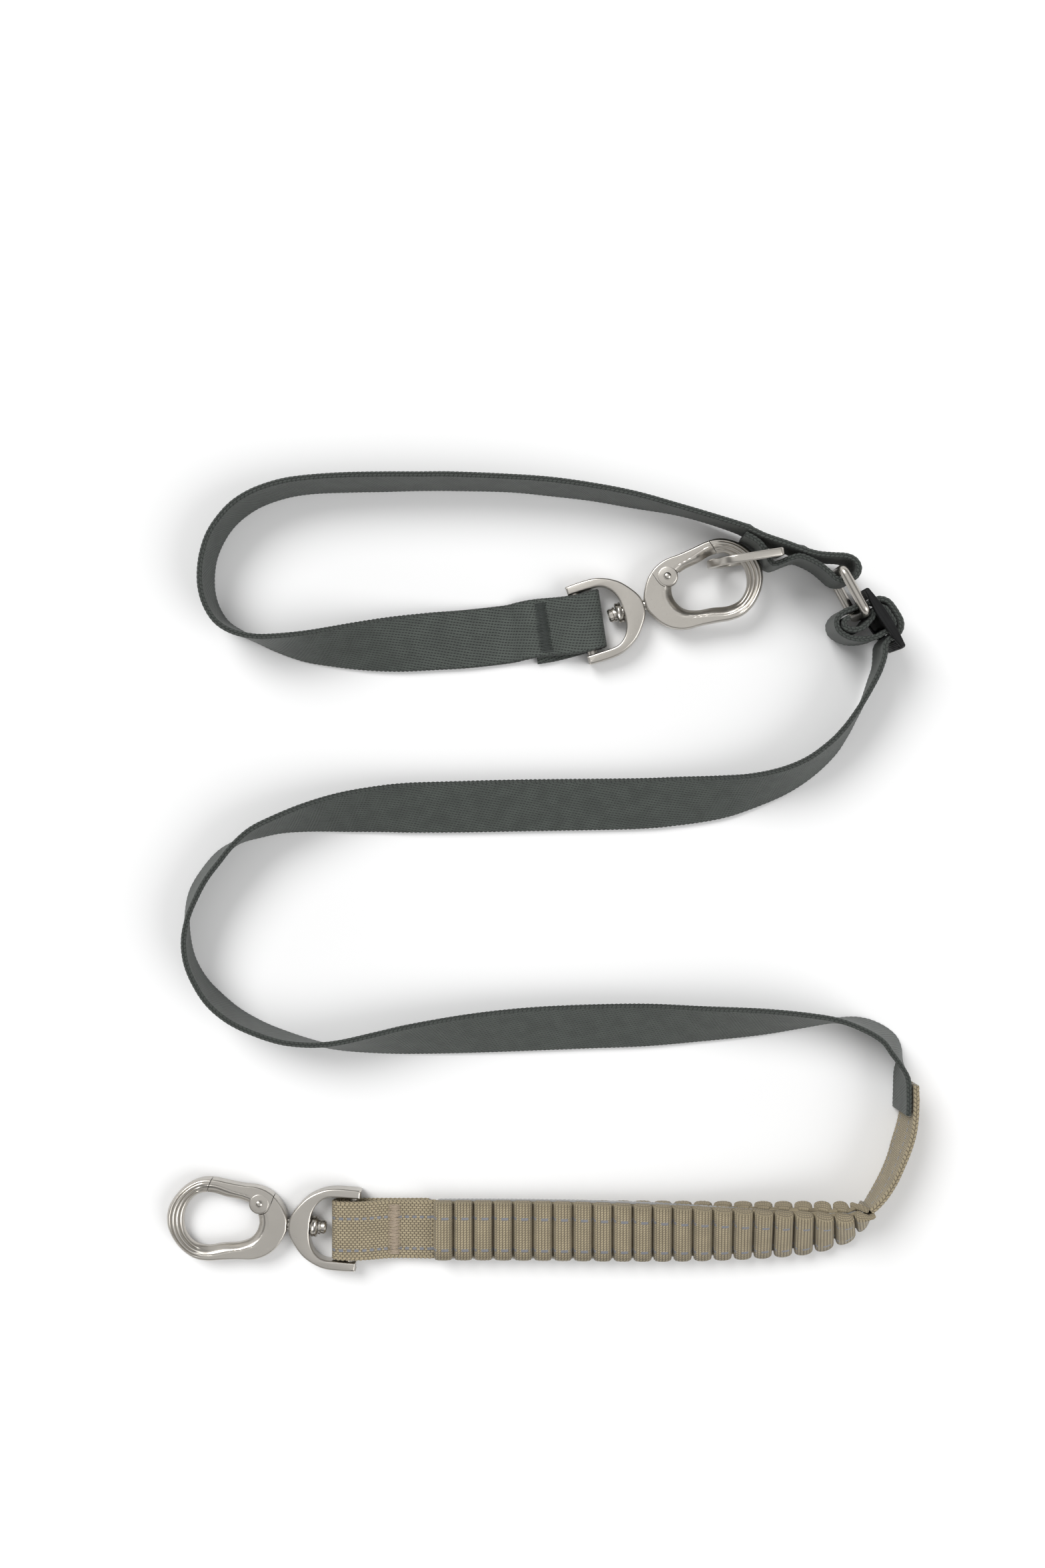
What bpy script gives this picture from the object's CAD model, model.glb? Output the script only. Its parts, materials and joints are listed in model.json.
"""A hands-free lead with a bungee section, laid out in curves on a pale surface and seen from above.

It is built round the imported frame. Lists and named sizes are in millimetres; MM turns them into metres.
"""

import bisect
import json
import math
import random

import bmesh
import bpy
from mathutils import Matrix, Vector
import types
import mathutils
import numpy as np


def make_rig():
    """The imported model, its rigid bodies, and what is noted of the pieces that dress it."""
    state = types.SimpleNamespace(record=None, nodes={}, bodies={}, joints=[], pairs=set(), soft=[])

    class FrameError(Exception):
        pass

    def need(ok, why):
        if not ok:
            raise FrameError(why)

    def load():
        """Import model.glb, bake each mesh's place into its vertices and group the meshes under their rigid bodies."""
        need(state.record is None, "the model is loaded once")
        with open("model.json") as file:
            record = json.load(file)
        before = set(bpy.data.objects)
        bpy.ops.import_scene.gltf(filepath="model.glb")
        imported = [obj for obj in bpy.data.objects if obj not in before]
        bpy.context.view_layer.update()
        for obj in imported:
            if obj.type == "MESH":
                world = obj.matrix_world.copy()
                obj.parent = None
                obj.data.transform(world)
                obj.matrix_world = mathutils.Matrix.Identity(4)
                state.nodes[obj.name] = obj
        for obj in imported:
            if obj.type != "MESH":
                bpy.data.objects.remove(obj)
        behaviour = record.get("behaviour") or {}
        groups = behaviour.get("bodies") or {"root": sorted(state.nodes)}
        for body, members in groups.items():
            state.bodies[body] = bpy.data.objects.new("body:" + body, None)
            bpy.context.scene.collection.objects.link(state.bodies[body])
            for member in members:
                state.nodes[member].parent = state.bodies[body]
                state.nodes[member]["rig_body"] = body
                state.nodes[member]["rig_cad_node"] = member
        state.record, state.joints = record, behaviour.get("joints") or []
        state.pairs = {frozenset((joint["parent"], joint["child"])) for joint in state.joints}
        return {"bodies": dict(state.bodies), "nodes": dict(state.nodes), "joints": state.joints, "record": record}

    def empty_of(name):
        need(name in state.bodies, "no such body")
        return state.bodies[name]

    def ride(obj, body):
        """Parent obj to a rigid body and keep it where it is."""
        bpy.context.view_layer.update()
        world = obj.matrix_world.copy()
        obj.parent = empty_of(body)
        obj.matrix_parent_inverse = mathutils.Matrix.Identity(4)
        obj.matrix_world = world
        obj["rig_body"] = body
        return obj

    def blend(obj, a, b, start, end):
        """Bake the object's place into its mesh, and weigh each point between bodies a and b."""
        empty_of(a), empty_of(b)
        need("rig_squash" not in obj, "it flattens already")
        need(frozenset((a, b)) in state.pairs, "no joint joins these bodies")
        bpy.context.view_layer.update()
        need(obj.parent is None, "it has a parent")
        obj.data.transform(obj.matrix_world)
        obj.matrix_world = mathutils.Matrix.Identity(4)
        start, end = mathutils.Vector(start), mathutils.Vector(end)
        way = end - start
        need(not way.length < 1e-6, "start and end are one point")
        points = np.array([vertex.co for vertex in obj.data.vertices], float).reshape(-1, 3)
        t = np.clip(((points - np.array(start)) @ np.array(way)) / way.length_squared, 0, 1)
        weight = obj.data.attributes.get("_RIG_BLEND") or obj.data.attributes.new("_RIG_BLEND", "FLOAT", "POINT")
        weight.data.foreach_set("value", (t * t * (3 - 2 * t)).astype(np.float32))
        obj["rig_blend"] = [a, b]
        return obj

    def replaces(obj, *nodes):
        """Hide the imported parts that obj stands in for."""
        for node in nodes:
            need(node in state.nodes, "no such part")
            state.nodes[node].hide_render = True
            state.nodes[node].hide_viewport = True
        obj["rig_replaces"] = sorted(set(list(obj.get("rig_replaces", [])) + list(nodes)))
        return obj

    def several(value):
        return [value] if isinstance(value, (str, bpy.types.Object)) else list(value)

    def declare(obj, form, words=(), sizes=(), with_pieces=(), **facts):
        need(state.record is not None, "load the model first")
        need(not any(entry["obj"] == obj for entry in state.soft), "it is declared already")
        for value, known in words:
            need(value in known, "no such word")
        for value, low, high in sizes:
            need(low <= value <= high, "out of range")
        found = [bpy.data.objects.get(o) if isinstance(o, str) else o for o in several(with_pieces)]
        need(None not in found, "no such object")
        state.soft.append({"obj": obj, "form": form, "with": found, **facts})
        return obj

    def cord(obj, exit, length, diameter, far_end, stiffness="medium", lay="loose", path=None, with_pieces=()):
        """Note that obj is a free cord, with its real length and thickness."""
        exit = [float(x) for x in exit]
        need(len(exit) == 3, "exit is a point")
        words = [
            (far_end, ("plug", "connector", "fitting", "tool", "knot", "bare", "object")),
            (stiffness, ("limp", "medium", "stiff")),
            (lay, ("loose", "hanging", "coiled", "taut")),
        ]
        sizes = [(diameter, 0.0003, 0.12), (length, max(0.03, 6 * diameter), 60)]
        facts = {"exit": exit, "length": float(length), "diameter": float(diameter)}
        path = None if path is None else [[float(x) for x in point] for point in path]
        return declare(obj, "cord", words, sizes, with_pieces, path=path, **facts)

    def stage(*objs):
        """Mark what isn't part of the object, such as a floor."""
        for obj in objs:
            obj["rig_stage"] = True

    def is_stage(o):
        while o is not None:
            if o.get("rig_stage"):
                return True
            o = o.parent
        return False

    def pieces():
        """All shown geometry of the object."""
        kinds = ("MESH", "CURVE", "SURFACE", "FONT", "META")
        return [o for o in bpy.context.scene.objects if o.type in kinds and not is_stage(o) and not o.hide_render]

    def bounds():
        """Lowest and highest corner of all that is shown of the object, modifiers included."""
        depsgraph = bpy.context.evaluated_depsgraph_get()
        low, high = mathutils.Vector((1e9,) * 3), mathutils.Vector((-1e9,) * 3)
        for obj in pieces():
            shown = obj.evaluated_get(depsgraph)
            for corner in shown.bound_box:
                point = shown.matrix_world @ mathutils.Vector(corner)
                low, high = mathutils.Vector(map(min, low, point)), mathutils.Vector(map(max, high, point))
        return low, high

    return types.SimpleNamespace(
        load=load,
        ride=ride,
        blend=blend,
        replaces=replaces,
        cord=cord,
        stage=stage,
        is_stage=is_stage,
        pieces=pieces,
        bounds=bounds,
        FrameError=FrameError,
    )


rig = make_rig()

MM = 0.001

# Camera
EYE = (-5.0, 50.5, 850.0)
SENSOR = 36.0
FIELD = 682.0  # height of the view at the surface
LENS = SENSOR * EYE[2] / FIELD

# Light: the sky's brightness by the height of its direction; each soft lamp's direction, width and strength
SKY = ((0.0, 0.95), (0.32, 0.85), (0.44, 0.10), (0.66, 0.14), (0.86, 0.66), (1.0, 0.82))
LAMPS = (("key", (-0.9, 1.0, 1.5), 32.0, 2.1), ("fill", (1.2, -0.6, 1.3), 38.0, 1.2))
FLOOR_REACH = 60.0
FLOOR_DROP = 0.0004

# Webbing
WEB_WIDTH = 25.0
WEB_THICK = 2.2
TAN_THICK = 2.4
END_THICK = 2.2
FINE = 0.42  # distance between cross-sections of webbing
EDGE_PITCH = 1.9  # of the loops along a webbing's edge
EDGE_SLANT = 0.5
FACE_PLACES = (-1.0, -0.6, -0.2, 0.2, 0.6, 1.0)  # points across a face, as shares of its half width
RIM_PLACES = (0.92, 0.62, 0.32, 0.0, -0.32, -0.62, -0.92)  # points down an edge, by the half thickness
RIM = 0.9  # width of the rounded edge
EDGE_CURVE, GATHERED_CURVE = 0.45, 0.7  # how far the edge curves in, and how much further where gathered
EDGE_INSET = 0.2  # of the widest part of the edge, between its loops
LOOP_OUT, LOOP_SWELL = 0.45, 0.16  # how far the edge's loops stand out, and how much they thicken it
SEAM_WIDTH, SEAM_PITCH, SEAM_THREAD = 21.5, 0.62, 0.27
STITCH_SINK, STITCH_LIFT, STITCH_STRAY = 0.12, 0.32, 0.12  # below and above the cloth, and across
STRAND_LIFT = 4.5  # of the webbing on edge in the rings and the slider

# Bungee section
BUNGEE_WIDTH = 26.0
BUNGEE_HEIGHT = 10.0
PLEATS = 22
PLEAT_STEPS = 26
RUFFLE_UPPER, RUFFLE_LOWER = 2.05, 1.75  # half the height of the lobes that the gathered webbing makes
CREASE_HEIGHT = 1.5  # of the creases between the lobes, from the middle of the core
RUFFLE_SPREAD = 0.40  # how far the waves' walls are pulled upright
RUFFLE_CLOSE = 1.6  # how far the waves' crests widen over the creases between them
ROOT_SHARE = 0.55  # a lobe's width at its root, by its width at the top
ROOT_HEIGHT = 0.48  # of the lobes' roots, from the middle of the core
CREASE_IN, LOBE_OUT, LOWER_IN = 1.6, 1.3, 1.8  # what the creases, lobes and lower lobes change in width
PLEAT_DASHES, DASH_SHIFT = 4.0, 0.4  # grey dashes per pleat
DASH_PERIOD = 3.2  # of the grey threads in the flat webbing
THREAD_PLACES = (5.4, -8.2)  # of the grey threads, across the webbing
ROW_PITCH, DASH_PITCH = 1.25, 1.45  # of the green webbing's slanting rows, and of the dashes in them
CELL_WIDTH, CELL_LENGTH, RIB_PITCH = 1.0, 1.74, 1.34  # of the tan webbing's cells and ribs
BAND_WIDTH = 25.6
BAND_THICK = 1.2
BAND_TAPER, TAPER_OVER = 6.0, 0.6  # how much narrower at the flat tail's end, and over what share
BAND_FROM, BAND_TO = 4.0, 2.0  # how far inside the gathered part the band begins and ends
FLAT_OVERLAP = 1.0  # how far the flat runs reach into the gathered part

# Snap hook, in a frame whose X runs from the bail's bar to the hook's nose and whose Y is the gate's side
BAR_RADIUS, BAR_HALF = 2.0, 15.0
BAR_HEIGHT = 4.6
METAL_HALF = 4.0
HOOK_START = 28.0
PIN = (12.7, 8.5)
PIN_RADIUS = 1.2
PIN_HEAD_RADIUS = 1.75
PIN_HOLE_RADIUS = 1.5
FOOT_RADIUS = 4.5
NOSE_RADIUS = 23.2
SPLIT = ((3.5, 19.0), (6.5, 13.1), (8.1, 7.8))
SPLIT_GAP = 0.3
HOOK_ROWS = 64  # sections along each half of the hook
HOOK_SECTION = 36  # points across the hook's section
SLOPE_WIDTH, SLOPE_DROP = 3.3, 0.62  # of the slope beside the eye
GROOVE_WIDTH, GROOVE_DEPTH = 0.5, 0.12  # of the line between the slope and the plate
EDGE_ROUND, EDGE_DROP = 0.9, 0.30
NOSE_RIDGES = 4
NOSE_FROM, NOSE_OVER = 34.0, 9.0  # where the ridges begin, and the length over which they grow
NOSE_LOW, NOSE_RISE, NOSE_SHARE = 0.23, 0.60, 0.72  # of the ridges' climb, by the half thickness
RIDGE_RISE, RIDGE_ROUND = 0.13, 0.6
GATE_HALF = 3.6
SLOT_HALF = 2.1
FORK_RADIUS = 5.3
CUT = 2.0  # how far cutters reach past the metal
TONGUE_RADIUS = 3.4
TONGUE_LOW, TONGUE_HIGH = -1.75, 0.2
TONGUE_HEADING = 208.0
TONGUE_REACH, TONGUE_HALF = 7.0, 2.4
SPRING_RADIUS = 2.0
SPRING_WIRE = 0.22
SPRING_TURNS = 2
SPRING_LOW, SPRING_PITCH = 0.75, 0.5
SHAFT_RADIUS = 2.3
SHAFT_HOLE_RADIUS = 2.65
HOLE_START, HOLE_END = 16.0, 30.0  # of the hole through the bail's crown
SHAFT_DEPTH = 5.5
HEAD_RADIUS = 3.3
HEAD_START, HEAD_END = 11.3, 14.7
WASHER_RADIUS = 4.6
WASHER_START, WASHER_END = 15.0, 17.7
HOOK_OUTER = [
    (0, 2.4), (1.6, 6.2), (4.2, 10.2), (8.2, 13.6), (13.5, 15.6), (20, 16), (27, 16.8), (33, 17.6),
    (39, 17.1), (44.5, 14.2), (48.9, 9.5), (51.5, 4.4), (52.2, 0)]
HOOK_INNER = [
    (12.1, 0), (12.9, 3.6), (15.6, 7.2), (20.5, 9.3), (27, 10.2), (33.5, 11.6), (39, 10.6), (42.8, 7.2),
    (44.5, 3.2), (44.9, 0)]
BAIL_OUTER = [
    (-2.6, 16.8), (-1.9, 17.5), (8, 17.6), (14, 16.3), (20, 12.9), (24.4, 8), (26.8, 3.8), (27.4, 0)]
BAIL_INNER = [
    (-2.6, 13.7), (4, 13.7), (11, 13.4), (15, 11), (17.4, 7), (18.2, 2.6), (18.2, 0)]
HOOK_A_BAR = (21.4, 119.5, BAR_HEIGHT)
HOOK_A_HEADING = 17.5
HOOK_A_RISE = 5.0
HOOK_B_BAR = (-78.6, -142.0, BAR_HEIGHT)
HOOK_B_HEADING = 175.7

# Rings and slider
RING_BAR = (102.3, 148.3)
RING_HEADING = 188.8
RING_LEAN = -3.0
RING_CENTRE = 17.7
RING_HALF = 17.5
RING_STOCK = 4.0
RING_THICK = 3.5
RING_REACH = 28.9
RING_STRAIGHT = 17.0
RING_CORNER, RING_INNER_CORNER = 2.0, 1.2
LINK_RODS = ((129.2, 140.4), (139.0, 122.6))
LINK_RADIUS = 2.1
LINK_LOW, LINK_HIGH = 2.1, 31.9
LINK_CORNER = 2.5
SLIDER_MIDDLE = (146.8, 120.0)
SLIDER_ALONG = Vector((0.541, -0.841, 0.0)).normalized()
SLIDER_THROUGH = Vector((0.841, 0.541, 0.0)).normalized()
SLIDER_HALF_LENGTH = 14.75
SLIDER_LOW, SLIDER_HIGH = 0.8, 33.2
SLIDER_HALF_THICK = 1.0
BAR_HALF_THICK = 1.6
BAR_HALF_WIDTH = 3.75
RAIL_HALF_THICK = 2.15  # of the slider's lens-shaped rails, at their middle
SLIT_NEAR, SLIT_FAR = 3.2, 10.25
SLIT_LOW, SLIT_HIGH = 4.2, 29.8
SLIDER_CORNER = 2.6
GRIP_RIBS, GRIP_START, GRIP_PITCH, GRIP_RADIUS = 5, 0.75, 0.78, 0.26

# Webbing routes: x, y, roll in degrees, and the height of the lower edge if it is off the surface.
# Roll 0 or 180 is flat and 90 stands on edge.
HANDLE_ROUTE = [
    (-12, 115.4, 180), (-29.3, 113.3, 172), (-42.3, 112.3, 165), (-57.6, 111, 156), (-72.7, 109.9, 141),
    (-88, 109.3, 125), (-99.3, 109.4, 114), (-110.7, 110.8, 101), (-118.8, 112.6, 92), (-127, 115.4, 87),
    (-133.7, 119.6, 86), (-138, 125.8, 86), (-140.3, 133, 86), (-140.7, 140.5, 86), (-139.6, 148.4, 86),
    (-136.8, 156, 85), (-132.2, 163, 85), (-126.2, 168.8, 84), (-118, 173.6, 84), (-107, 177.2, 84),
    (-95.4, 178.9, 84), (-80.1, 179.7, 83), (-64.8, 180, 83), (-49.6, 180.2, 84), (-34.2, 180.2, 84),
    (-10.4, 179.4, 85), (7.4, 177.9, 84), (25.3, 175.6, 85), (43.1, 172.3, 86), (61, 168.2, 91, 0.8),
    (74.3, 164.2, 92, 2.6), (87.3, 159.7, 91, 4.2)]
# The handle's strand on edge that passes both rings and comes back round the D ring's bar
RINGS_ROUTE = [
    (92, 157.3), (96.4, 155.2), (100.5, 153.7), (105.6, 152), (111, 150), (115.4, 148.4), (119.9, 147.3),
    (125.4, 146.8), (131.3, 146.4), (135, 144.6), (136.6, 141.2), (135.1, 137.7), (131.4, 136),
    (127.4, 136.7), (124, 139.6), (120, 142.8), (115.4, 145.2), (111.4, 146.4), (107, 145.2), (103.9, 143.9),
    (101, 143.1), (99.2, 144.4), (98.3, 146.7), (97, 149.2), (94.8, 151.9), (91.8, 154.1), (88.7, 155.6)]
# Across the slider, in its own frame, from the tail's end to the strand that leaves for the bungee
ADJUSTER_ROUTE = [
    (-8.2, -11.4), (-8.1, -14.3), (-5.5, -15.4), (-2.6, -12.6), (-1.6, -8.8), (-2.4, -5.4), (-3.3, -3.1),
    (-5, -1.4), (-5.2, 0), (-4.7, 1.9), (-3, 3.05), (0, 3.1), (3, 3.05), (4.7, 1.9), (5.2, 0), (5.15, -2.5),
    (4.6, -7), (2.2, -12.5), (-1.5, -16.5), (-6, -18.4), (-9.9, -17), (-11.4, -13), (-10.8, -9),
    (-10.1, -5.6), (-9.2, -2.8), (-8.8, 0), (-8, 3.2), (-5, 5.6), (0, 6.1), (5, 5.6), (8, 3.2), (8.6, 0),
    (8.6, -2.6), (9.7, -5.2)]
MAIN_ROUTE = [
    (147.4, 105, 90, 4.5), (146.6, 100.4, 92, 4), (144.9, 95.4, 93, 3), (141.2, 86.6, 97, 1.8),
    (137.4, 79.6, 99, 0.9), (133.2, 72.8, 102, 0.2), (127.6, 65.8, 106), (118.4, 58, 110), (107.4, 52, 116),
    (94, 47.6, 124), (80.2, 44.8, 135), (61.4, 43, 144), (42.1, 41.9, 148), (-4.7, 41.2, 150),
    (-32, 40.6, 149), (-54, 40.2, 146), (-67.5, 39.6, 139), (-82, 38.3, 130), (-96.5, 36.2, 117),
    (-109.6, 33.2, 105), (-119.3, 29.8, 98), (-127.4, 25.4, 88), (-134.9, 19.2, 79), (-141.3, 11.4, 77),
    (-146, 3, 76), (-148.6, -5.8, 80), (-149.3, -15.7, 85), (-147.6, -25.4, 88), (-143.2, -34.4, 91),
    (-136.8, -42.3, 95), (-128.3, -49.2, 95), (-117.8, -54.6, 93), (-107.1, -58.4, 91), (-97, -60.6, 86),
    (-89, -61.5, 81), (-80, -61.5, 75), (-66, -60.4, 65), (-52, -59, 56), (-27.2, -56.8, 45),
    (-2.3, -55.1, 39), (22.6, -54, 38), (47.6, -53.3, 40), (72.3, -52.6, 50), (96.9, -51.7, 60),
    (115.5, -51, 72), (129, -51, 83), (140.4, -52.8, 95), (148.6, -56.4, 101), (154, -61.6, 106),
    (156.8, -67.4, 101), (157.7, -74, 89), (157.8, -82.1, 87), (157.6, -89.6, 87)]
TAIL_ROUTE = [
    (160.8, -77, 87), (160.9, -84.4, 87), (160.6, -91.2, 87), (159.4, -97.8, 86), (157.4, -104.4, 86),
    (155, -111.4, 88), (151.9, -118.4, 89), (148, -125, 91), (145.3, -128.3, 94)]
BUNGEE_ROUTE = [
    (143.4, -130.6, 96), (141.4, -132.3, 104), (137.8, -134.6, 116), (130.2, -137.4, 126),
    (118.5, -139.3, 138), (103.8, -140.3, 146), (82.9, -141.1, 156), (60.9, -141.6, 165),
    (35.5, -141.8, 172), (11.1, -141.8, 177), (-17.6, -141.8, 180), (-43.4, -141.8, 180)]

# The flat webbing's fold round a bail's bar: along the bail's axis, to its left, and height.
# It starts on the layer that lies on the surface and ends on the upper layer.
FOLD_A_SLANT = 9.0  # degrees between the bar and the webbing's width
FOLD_A = [
    (-22, 2.2, 1.1), (-12, 0.9, 1.1), (4, 0.3, 1.1), (6.9, 0.3, 2.5), (7.7, 0.3, 4.9), (6.7, 0.3, 7.3),
    (4, 0.3, 8.4), (0, 0.4, 8.5), (-4, 0.9, 8.2), (-9, 2, 6.6), (-14, 3.3, 4.6), (-18, 4.2, 3.9),
    (-22, 4.9, 3.8), (-27, 5.5, 2.3)]
FOLD_B = [
    (-33, 0, 1.1), (-15, 0, 1.1), (4, 0, 1.1), (6.9, 0, 2.5), (7.7, 0, 4.9), (6.7, 0, 7.3), (4, 0, 8.4),
    (0, 0, 8.5), (-4, 0, 8.2), (-9, 0, 6.6), (-14, 0, 4.6), (-18, 0, 3.9), (-24, 0, 4), (-34.8, 0, 4.8)]

BUNGEE_KEY_START = (143.4, -130.6, 13.0)
BUNGEE_KEY_END = (-43.4, -141.8, 5.0)
STRETCH_FROM = Vector((118.0, -141.8, 5.0))
STRETCH_TO = Vector((-42.0, -141.8, 5.0))

# Colours, linear
GREEN = (0.047, 0.0555, 0.0485)
GREEN_DARK = (0.007, 0.009, 0.008)
TAN = (0.34, 0.285, 0.185)
TAN_DARK = (0.045, 0.031, 0.018)
GREY_THREAD = (0.20, 0.205, 0.225)
ELASTIC = (0.42, 0.42, 0.42)
TAN_STITCH = (0.42, 0.34, 0.255)
GREEN_STITCH = (0.036, 0.043, 0.039)
NICKEL = (0.49, 0.465, 0.425)
BLACK = (0.004, 0.0042, 0.0045)


# ---- paths

def spline(a, b, c, d, t):
    return 0.5 * (2 * b + (c - a) * t + (2 * a - 5 * b + 4 * c - d) * t**2 + (3 * b - a - 3 * c + d) * t**3)


def rolled(route, width, thick):
    """Keys of a path along a route of (x, y, roll, lift)."""
    keys = []
    for i, (x, y, roll, *lift) in enumerate(route):
        before = Vector(route[max(0, i - 1)][:2])
        after = Vector(route[min(len(route) - 1, i + 1)][:2])
        forward = (after - before).normalized()
        side = Vector((-forward.y, forward.x, 0.0))
        angle = math.radians(roll)
        height = 0.5 * width * abs(math.sin(angle)) + 0.5 * thick * abs(math.cos(angle)) + sum(lift)
        keys.append((Vector((x, y, height)), side * math.cos(angle) + Vector((0, 0, math.sin(angle)))))
    return keys


def folded(fold, bar, heading, slant=0.0):
    """Keys of a fold round a bail's bar, with the width along the bar, or slanting from it by an angle."""
    angle = math.radians(heading)
    along = Vector((math.cos(angle), math.sin(angle), 0.0))
    left = Vector((-along.y, along.x, 0.0))
    foot = Vector((bar[0], bar[1], 0.0))
    wide = Matrix.Rotation(-math.radians(slant), 3, "Z") @ left
    return [(foot + along * x + left * y + Vector((0, 0, z)), wide.copy()) for x, y, z in fold]


def in_slider(route):
    """Keys of a path on edge, from a list in the slider's frame."""
    foot = Vector((*SLIDER_MIDDLE, STRAND_LIFT + 0.5 * WEB_WIDTH))
    return [(foot + SLIDER_ALONG * s + SLIDER_THROUGH * n, Vector((0, 0, 1))) for s, n in route]


def fine(keys, step=FINE):
    """Sections of the Catmull-Rom path through the keys: distance, point, width and face directions."""
    pairs = []
    last = len(keys) - 1
    for i in range(last):
        near = [keys[max(0, min(last, j))] for j in (i - 1, i, i + 1, i + 2)]
        count = max(1, math.ceil((near[2][0] - near[1][0]).length / step))
        for k in range(count):
            pairs.append(tuple(spline(*(key[part] for key in near), k / count) for part in (0, 1)))
    pairs.append(keys[-1])
    out = []
    distance = 0.0
    for i, (point, side) in enumerate(pairs):
        if i:
            distance += (point - pairs[i - 1][0]).length
        ahead = pairs[min(i + 1, len(pairs) - 1)][0] - pairs[max(i - 1, 0)][0]
        face = ahead.cross(side).normalized()
        out.append((distance, point, side.normalized(), face))
    return out


def nearest(sections, where):
    """Distance along a path of its section nearest to a point."""
    target = Vector(where)
    return min(sections, key=lambda section: (section[1] - target).length)[0]


def metres(sections, every=6):
    chosen = sections[::every]
    if chosen[-1] is not sections[-1]:
        chosen = chosen + [sections[-1]]
    return [tuple(section[1] * MM) for section in chosen]


def ease(x):
    x = max(0.0, min(1.0, x))
    return x * x * (3 - 2 * x)


# ---- meshes

def linked(name, data):
    """A new object in the scene."""
    made = bpy.data.objects.new(name, data)
    bpy.context.scene.collection.objects.link(made)
    return made


def evaluated(made):
    """The mesh of an object with its modifiers or its bevel."""
    bpy.context.view_layer.update()
    return bpy.data.meshes.new_from_object(made.evaluated_get(bpy.context.evaluated_depsgraph_get()))


def add_piece(name, mesh, finish):
    made = linked(name, mesh)
    mesh.materials.clear()
    mesh.materials.append(finish)
    return made


def fitted(name, mesh, finish, body, node):
    """A piece that rides on a body and stands for a CAD node."""
    made = add_piece(name, mesh, finish)
    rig.ride(made, body)
    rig.replaces(made, node)
    return made


def mesh_of(name, points, faces, extras=None):
    """A mesh in metres from points in millimetres, with number attributes for the materials."""
    mesh = bpy.data.meshes.new(name)
    mesh.from_pydata([tuple(Vector(p) * MM) for p in points], [], faces)
    for label, values in (extras or {}).items():
        layer = mesh.attributes.new(label, "FLOAT", "POINT")
        layer.data.foreach_set("value", values)
    mesh.update()
    return mesh


def loft_faces(rows, around, closed=False):
    """Faces of a skin through rows of points; the two ends are capped unless the rows close on themselves."""
    faces = []
    for i in range(rows if closed else rows - 1):
        here = i * around
        there = (i + 1) % rows * around
        for j in range(around):
            k = (j + 1) % around
            faces.append((here + j, here + k, there + k, there + j))
    if not closed:
        faces.append(tuple(reversed(range(around))))
        faces.append(tuple((rows - 1) * around + j for j in range(around)))
    return faces


def outward(mesh, joined=False):
    """The mesh with its faces turned outwards, and its coinciding points joined if asked."""
    build = bmesh.new()
    build.from_mesh(mesh)
    if joined:
        bmesh.ops.remove_doubles(build, verts=build.verts, dist=1e-6)
    bmesh.ops.recalc_face_normals(build, faces=build.faces)
    build.to_mesh(mesh)
    build.free()
    return mesh


def smooth_shade(mesh, angle=None):
    mesh.shade_smooth()
    if angle is not None:
        mesh.set_sharp_from_angle(angle=math.radians(angle))


def flat_run(sections, width, thick):
    """Sections of ungathered webbing, with what strap_mesh() needs to know about each."""
    return [(distance, point, side, up, width, 0.5 * thick, distance / DASH_PERIOD, 0.0)
            for distance, point, side, up in sections]


def place(sections, distance):
    """Point, width direction and face direction at a distance along a path."""
    last = len(sections) - 1
    i = bisect.bisect_right(sections, distance, key=lambda section: section[0]) - 1
    i = max(0, min(last - 1, i))
    near, far = sections[i], sections[i + 1]
    share = max(0.0, min(1.0, (distance - near[0]) / (far[0] - near[0])))
    return tuple(near[part].lerp(far[part], share) for part in (1, 2, 3))


def ruffled_run(sections, start, stop, sign):
    """Webbing gathered in lobes on one face of the bungee's core, each fanning out from the core."""
    pitch = (stop - start) / PLEATS
    depth = RUFFLE_UPPER if sign < 0 else RUFFLE_LOWER
    count = PLEATS * PLEAT_STEPS
    outside = []
    for k in range(count + 1):
        turn = math.tau * k / PLEAT_STEPS
        along = pitch * turn / math.tau + RUFFLE_SPREAD * math.sin(2 * turn) - RUFFLE_CLOSE * math.sin(turn)
        lobe = math.floor(turn / math.tau) if k < count else PLEATS - 1
        middle = pitch * (lobe + 0.5)
        root = middle + (along - middle) * ROOT_SHARE
        grown = 0.5 + 0.5 * ease(k / PLEAT_STEPS)  # the first lobe rises to the others' height
        height = CREASE_HEIGHT + depth * (1 - math.cos(turn)) * grown
        outside.append((start + along, height, start + root, k / PLEAT_STEPS))
    run = []
    length = 0.0
    before = None
    for along, height, root, pleat in outside:
        point, side, up = place(sections, along)
        top = point + up * height * sign
        point, _, up = place(sections, root)
        low = point + up * ROOT_HEIGHT * sign
        if before is not None:
            length += (top - before).length
        before = top
        reach = (top - low) * sign
        width = BUNGEE_WIDTH - CREASE_IN + LOBE_OUT * ease((height - CREASE_HEIGHT) / depth)
        if sign > 0:
            width -= LOWER_IN * ease((along - start) / (0.5 * (stop - start)))
        run.append((length, 0.5 * (top + low), side.normalized(), reach.normalized(), width,
                    0.5 * reach.length, PLEAT_DASHES * pleat + DASH_SHIFT, 1.0))
    return run


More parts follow.
